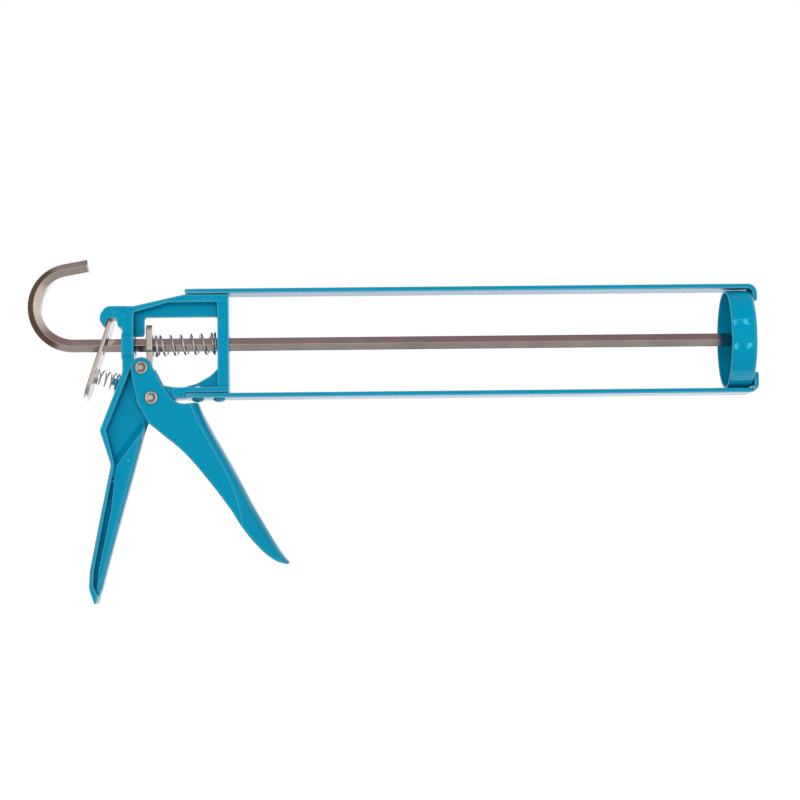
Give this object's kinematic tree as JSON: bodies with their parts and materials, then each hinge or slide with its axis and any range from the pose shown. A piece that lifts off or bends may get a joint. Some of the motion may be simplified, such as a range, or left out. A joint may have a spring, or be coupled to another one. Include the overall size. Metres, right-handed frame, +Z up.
{
  "type": "caulking gun",
  "caption": "Skeleton caulking gun: cast body and grip, strap cradle with a front cup, hexagonal push rod with pull hook, squeeze trigger and thumb-release brake plate.",
  "frame": {"origin": "on the trigger's pivot axis, in the gun's middle plane, where the closed hand holds it", "axes": "+X along the push rod towards the front cup, +Z up away from the grip, +Y to the left of someone who aims the gun; the rod's axis runs 28.75 mm above the origin and the cartridge seat is at X = 41 mm"},
  "size_m": [0.3879, 0.0524, 0.1834],
  "materials": {
    "enamel": "gloss enamel",
    "plated_bar": "bright plated drawn bar",
    "nickel": "nickel plate, tumbled",
    "spring_wire": "bright drawn wire",
    "zinc_plate": "zinc plate"
  },
  "bodies": {
    "frame": {"cast_body": "enamel", "top_strap": "enamel", "bottom_strap": "enamel", "top_strap_rivet_rear": "enamel", "top_strap_rivet_front": "enamel", "bottom_strap_rivet_rear": "enamel", "bottom_strap_rivet_front": "enamel", "front_cup": "enamel", "trigger_pivot_pin": "nickel", "drive_spring": "spring_wire", "brake_spring": "spring_wire"},
    "trigger": {"trigger": "enamel", "drive_pin": "nickel"},
    "drive_plate": {"drive_plate": "nickel"},
    "brake_plate": {"brake_plate": "nickel"},
    "plunger": {"plunger_backing": "zinc_plate", "plunger_plate": "zinc_plate"},
    "rod": {"push_rod": "plated_bar", "plunger_lock_washer": "zinc_plate", "plunger_nut": "zinc_plate"}
  },
  "joints": [
    {"name": "trigger_squeeze", "type": "hinge", "parent": "frame", "child": "trigger", "pos_m": [0, 0, 0], "axis": [0, 1, 0], "range_deg": [0, 30], "stiffness_Nm_per_rad": 0.5, "springref_deg": -34.38},
    {"name": "drive_plate_slide", "type": "slide", "parent": "frame", "child": "drive_plate", "axis": [1, 0, 0], "range_m": [0, 0.0088], "deforming": ["drive_spring"]},
    {"name": "brake_plate_press", "type": "hinge", "parent": "frame", "child": "brake_plate", "pos_m": [-0.02135, 0, 0.04195], "axis": [0, -1, 0], "range_deg": [0, 14], "stiffness_Nm_per_rad": 0.15, "springref_deg": -28.65, "deforming": ["brake_spring"]},
    {"name": "plunger_slide", "type": "slide", "parent": "frame", "child": "plunger", "axis": [-1, 0, 0], "range_m": [0, 0.268]},
    {"name": "rod_turn", "type": "hinge", "parent": "plunger", "child": "rod", "pos_m": [0.04, 0, 0.02875], "axis": [1, 0, 0], "continuous": true}
  ],
  "couplings": [
    {"joint": "drive_plate_slide", "follows": "trigger_squeeze", "m_per_rad": 0.01654}
  ]
}
